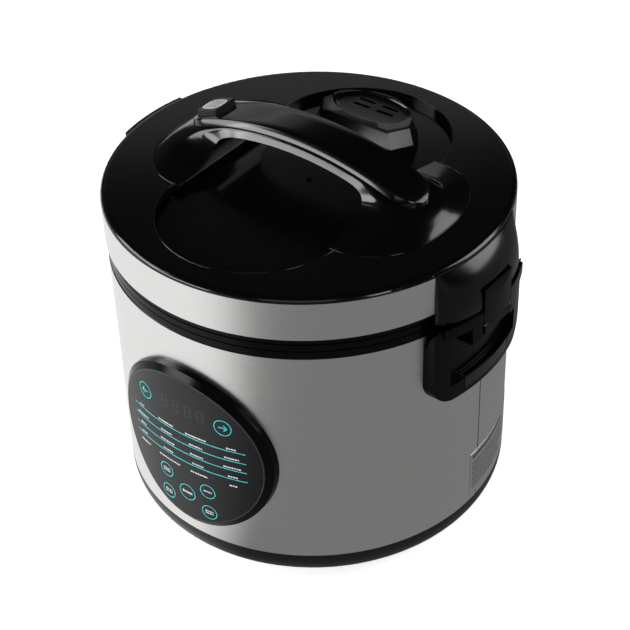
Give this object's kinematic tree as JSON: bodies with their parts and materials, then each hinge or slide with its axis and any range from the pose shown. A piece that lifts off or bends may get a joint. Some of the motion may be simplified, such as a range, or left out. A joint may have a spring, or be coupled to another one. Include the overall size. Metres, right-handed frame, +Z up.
{
  "type": "electric multicooker",
  "caption": "Drum-shaped electric cooker with a brushed steel body, a hinged black lid with a bridge handle, a lift-off steam cap and a round control panel on the front.",
  "frame": {"origin": "on the body's axis, at the floor under the rubber feet", "axes": "+Z up, the control panel faces -Y, the lid hinge is on +X and its latch on -X"},
  "size_m": [0.2733, 0.2669, 0.266],
  "materials": {
    "brushed_steel": "fine circumferential brushing",
    "gloss_black": "polished moulding",
    "satin_black": "satin moulding",
    "panel_film": "fine matt film",
    "rubber": "matt",
    "silicone": "satin translucent grey",
    "zinc_steel": "bright zinc",
    "aluminium": "satin",
    "nonstick": "speckled non-stick coating",
    "circuit_board": "solder mask",
    "display_glass": "smoked window",
    "foil": "blank satin foil",
    "button_grey": "satin grey paint"
  },
  "bodies": {
    "cooker_body": {"base_pan": "satin_black", "rubber_feet": "rubber", "base_screws": "zinc_steel", "body_shell": "brushed_steel", "top_collar": "satin_black", "heat_shield": "zinc_steel", "heating_plate": "aluminium", "sensor_bracket": "zinc_steel", "sensor_spring": "zinc_steel", "power_board": "circuit_board", "thermal_fuse": "circuit_board", "power_inlet": "satin_black", "rating_plate": "foil", "control_bezel": "gloss_black", "control_film": "panel_film", "membrane_sheet": "circuit_board", "control_board": "circuit_board", "board_screws": "zinc_steel", "display_module": "display_glass", "hinge_bracket": "gloss_black", "bracket_screws": "zinc_steel", "hinge_pin": "zinc_steel", "latch_catch": "zinc_steel"},
    "lid": {"hinge_arm": "gloss_black", "hinge_cover": "gloss_black", "lid_frame": "satin_black", "lid_band": "brushed_steel", "lid_cover": "gloss_black", "lid_screws": "zinc_steel", "inner_lid": "aluminium", "lid_gasket": "silicone", "centre_grommet": "silicone", "steam_seat": "satin_black", "handle_bridge": "gloss_black", "handle_cap": "gloss_black", "button_spring": "zinc_steel"},
    "pot": {"inner_pot": "nonstick"},
    "sensor": {"sensor_plunger": "aluminium"},
    "cup": {"condensate_cup": "gloss_black"},
    "button": {"release_button": "button_grey"},
    "hook": {"latch_hook": "satin_black"},
    "vent_cap": {"steam_cap": "gloss_black"},
    "key_left_body": {"key_left": "panel_film"},
    "key_right_body": {"key_right": "panel_film"},
    "key_timer_body": {"key_timer": "panel_film"},
    "key_delay_body": {"key_delay": "panel_film"},
    "key_menu_body": {"key_menu": "panel_film"},
    "key_start_body": {"key_start": "panel_film"},
    "key_cancel_body": {"key_cancel": "panel_film"}
  },
  "joints": [
    {"name": "lid_hinge", "type": "hinge", "parent": "cooker_body", "child": "lid", "pos_m": [0.1365, 0, 0.18], "axis": [0, 1, 0], "range_deg": [0, 85]},
    {"name": "pot_turn", "type": "hinge", "parent": "cooker_body", "child": "pot", "pos_m": [0, 0, 0.12], "axis": [0, 0, 1], "continuous": true},
    {"name": "sensor_press", "type": "slide", "parent": "cooker_body", "child": "sensor", "axis": [0, 0, -1], "range_m": [0, 0.002], "stiffness_N_per_m": 400, "springref_m": -0.004},
    {"name": "cup_slide", "type": "slide", "parent": "cooker_body", "child": "cup", "axis": [1, 0, 0], "range_m": [0, 0.03]},
    {"name": "button_press", "type": "slide", "parent": "lid", "child": "button", "axis": [0, 0, -1], "range_m": [0, 0.003], "stiffness_N_per_m": 700, "springref_m": -0.001},
    {"name": "hook_slide", "type": "slide", "parent": "lid", "child": "hook", "axis": [1, 0, 0], "range_m": [0, 0.0015]},
    {"name": "vent_cap_lift", "type": "slide", "parent": "lid", "child": "vent_cap", "axis": [0, 0, 1], "range_m": [0, 0.025]},
    {"name": "key_left_press", "type": "slide", "parent": "cooker_body", "child": "key_left_body", "axis": [0.2284, 0.9736, 0], "range_m": [0, 0.0005], "stiffness_N_per_m": 2000, "springref_m": -0.0002},
    {"name": "key_right_press", "type": "slide", "parent": "cooker_body", "child": "key_right_body", "axis": [-0.2284, 0.9736, 0], "range_m": [0, 0.0005], "stiffness_N_per_m": 2000, "springref_m": -0.0002},
    {"name": "key_timer_press", "type": "slide", "parent": "cooker_body", "child": "key_timer_body", "axis": [0.1253, 0.9921, 0], "range_m": [0, 0.0005], "stiffness_N_per_m": 2000, "springref_m": -0.0002},
    {"name": "key_delay_press", "type": "slide", "parent": "cooker_body", "child": "key_delay_body", "axis": [0.1253, 0.9921, 0], "range_m": [0, 0.0005], "stiffness_N_per_m": 2000, "springref_m": -0.0002},
    {"name": "key_menu_press", "type": "slide", "parent": "cooker_body", "child": "key_menu_body", "axis": [0, 1, 0], "range_m": [0, 0.0005], "stiffness_N_per_m": 2000, "springref_m": -0.0002},
    {"name": "key_start_press", "type": "slide", "parent": "cooker_body", "child": "key_start_body", "axis": [-0.1219, 0.9925, 0], "range_m": [0, 0.0005], "stiffness_N_per_m": 2000, "springref_m": -0.0002},
    {"name": "key_cancel_press", "type": "slide", "parent": "cooker_body", "child": "key_cancel_body", "axis": [-0.1219, 0.9925, 0], "range_m": [0, 0.0005], "stiffness_N_per_m": 2000, "springref_m": -0.0002}
  ],
  "couplings": [
    {"joint": "hook_slide", "follows": "button_press", "ratio": 0.5}
  ]
}
